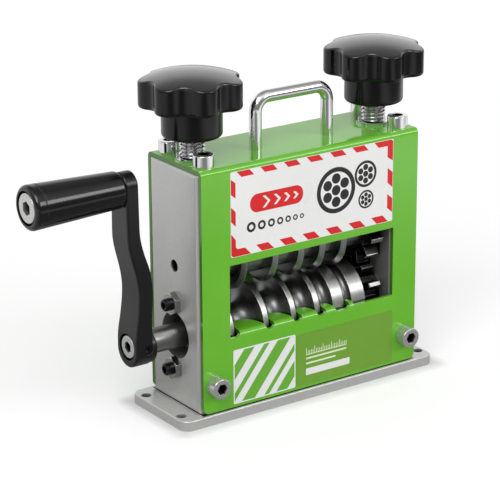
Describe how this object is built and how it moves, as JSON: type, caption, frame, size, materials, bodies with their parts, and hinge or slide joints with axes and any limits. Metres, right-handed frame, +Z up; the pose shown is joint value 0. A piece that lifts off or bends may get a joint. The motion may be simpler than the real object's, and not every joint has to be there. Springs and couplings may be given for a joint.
{
  "type": "hand crank wire stripper",
  "caption": "Hand crank bench wire stripper: a grooved feed roller under round blades in a green folded housing, with star knobs for cut depth and a carry handle",
  "frame": {"origin": "middle of the base plate's underside", "axes": "+Z up, -Y faces the user at the window side, +X along the shafts away from the crank"},
  "size_m": [0.2191, 0.0566, 0.1669],
  "materials": {
    "housing_green": "glossy powder coat",
    "plate_grey": "satin, fine vertical grain",
    "base_grey": "satin plated sheet",
    "chrome_steel": "mirror polish",
    "zinc_steel": "satin zinc",
    "black_oxide": "oiled black oxide",
    "ground_steel": "turned and ground",
    "roller_steel": "polished ridges and grooves",
    "blade_steel": "ground bevels",
    "gear_steel": "blackened, bright tooth tips",
    "spacer_steel": "turned",
    "bearing_steel": "ground races with black seals",
    "knob_black": "glossy moulded plastic",
    "grip_black": "glossy moulded plastic",
    "crank_black": "satin black coat",
    "spring_steel": "phosphated spring steel"
  },
  "bodies": {
    "housing": {"base_plate": "base_grey", "housing_cover": "housing_green", "side_plate_left": "plate_grey", "side_plate_right": "plate_grey", "front_cap_screws": "zinc_steel", "rear_cap_screws": "zinc_steel", "top_cap_screws": "chrome_steel", "base_screws": "black_oxide", "screw_bush_left": "chrome_steel", "screw_bush_right": "chrome_steel", "drive_bearing_left": "bearing_steel", "drive_bearing_right": "bearing_steel", "bearing_retainer_left": "black_oxide", "bearing_retainer_right": "black_oxide", "retainer_studs": "black_oxide", "stud_lock_nuts": "zinc_steel", "carry_handle": "chrome_steel", "handle_washers": "zinc_steel", "handle_screws": "black_oxide"},
    "crank_drive": {"drive_shaft": "ground_steel", "drive_key": "ground_steel", "drive_circlips": "spring_steel", "feed_roller": "roller_steel", "drive_gear": "gear_steel", "drive_sleeve_left": "spacer_steel", "drive_sleeve_middle": "spacer_steel", "drive_sleeve_right": "spacer_steel", "crank_arm": "crank_black", "crank_hub_screw": "zinc_steel", "crank_set_screw": "black_oxide", "grip_axle_screw": "zinc_steel"},
    "grip": {"crank_grip": "grip_black"},
    "blade_carriage": {"bearing_block_left": "ground_steel", "bearing_block_right": "ground_steel", "blade_bearing_left": "bearing_steel", "blade_bearing_right": "bearing_steel"},
    "blade_stack": {"blade_shaft": "ground_steel", "blade_key": "ground_steel", "blade_circlips": "spring_steel", "blade_gear": "gear_steel", "blade_1": "blade_steel", "blade_2": "blade_steel", "blade_3": "blade_steel", "blade_4": "blade_steel", "blade_5": "blade_steel", "blade_spacer_1": "spacer_steel", "blade_spacer_2": "spacer_steel", "blade_spacer_3": "spacer_steel", "blade_spacer_4": "spacer_steel", "blade_spacer_5": "spacer_steel", "blade_spacer_6": "spacer_steel", "blade_spacer_7": "spacer_steel"},
    "knob_screw_left": {"adjusting_screw_left": "chrome_steel", "knob_left": "knob_black"},
    "knob_screw_right": {"adjusting_screw_right": "chrome_steel", "knob_right": "knob_black"}
  },
  "joints": [
    {"name": "crank_turn", "type": "hinge", "parent": "housing", "child": "crank_drive", "pos_m": [0, 0, 0.0393], "axis": [1, 0, 0], "continuous": true},
    {"name": "grip_turn", "type": "hinge", "parent": "crank_drive", "child": "grip", "pos_m": [-0.118, 0, 0.1168], "axis": [1, 0, 0], "continuous": true},
    {"name": "blade_lift", "type": "slide", "parent": "housing", "child": "blade_carriage", "axis": [0, 0, 1], "range_m": [-0.0015, 0.003]},
    {"name": "blade_turn", "type": "hinge", "parent": "blade_carriage", "child": "blade_stack", "pos_m": [0, 0, 0.074], "axis": [1, 0, 0], "continuous": true},
    {"name": "knob_left_turn", "type": "hinge", "parent": "blade_carriage", "child": "knob_screw_left", "pos_m": [-0.053, 0, 0.11], "axis": [0, 0, 1], "range_deg": [-308.7, 617.3]},
    {"name": "knob_right_turn", "type": "hinge", "parent": "blade_carriage", "child": "knob_screw_right", "pos_m": [0.053, 0, 0.11], "axis": [0, 0, 1], "range_deg": [-308.7, 617.3]}
  ],
  "couplings": [
    {"joint": "blade_turn", "follows": "crank_turn", "ratio": -1},
    {"joint": "knob_left_turn", "follows": "blade_lift", "rad_per_m": 3590.4},
    {"joint": "knob_right_turn", "follows": "blade_lift", "rad_per_m": 3590.4}
  ]
}
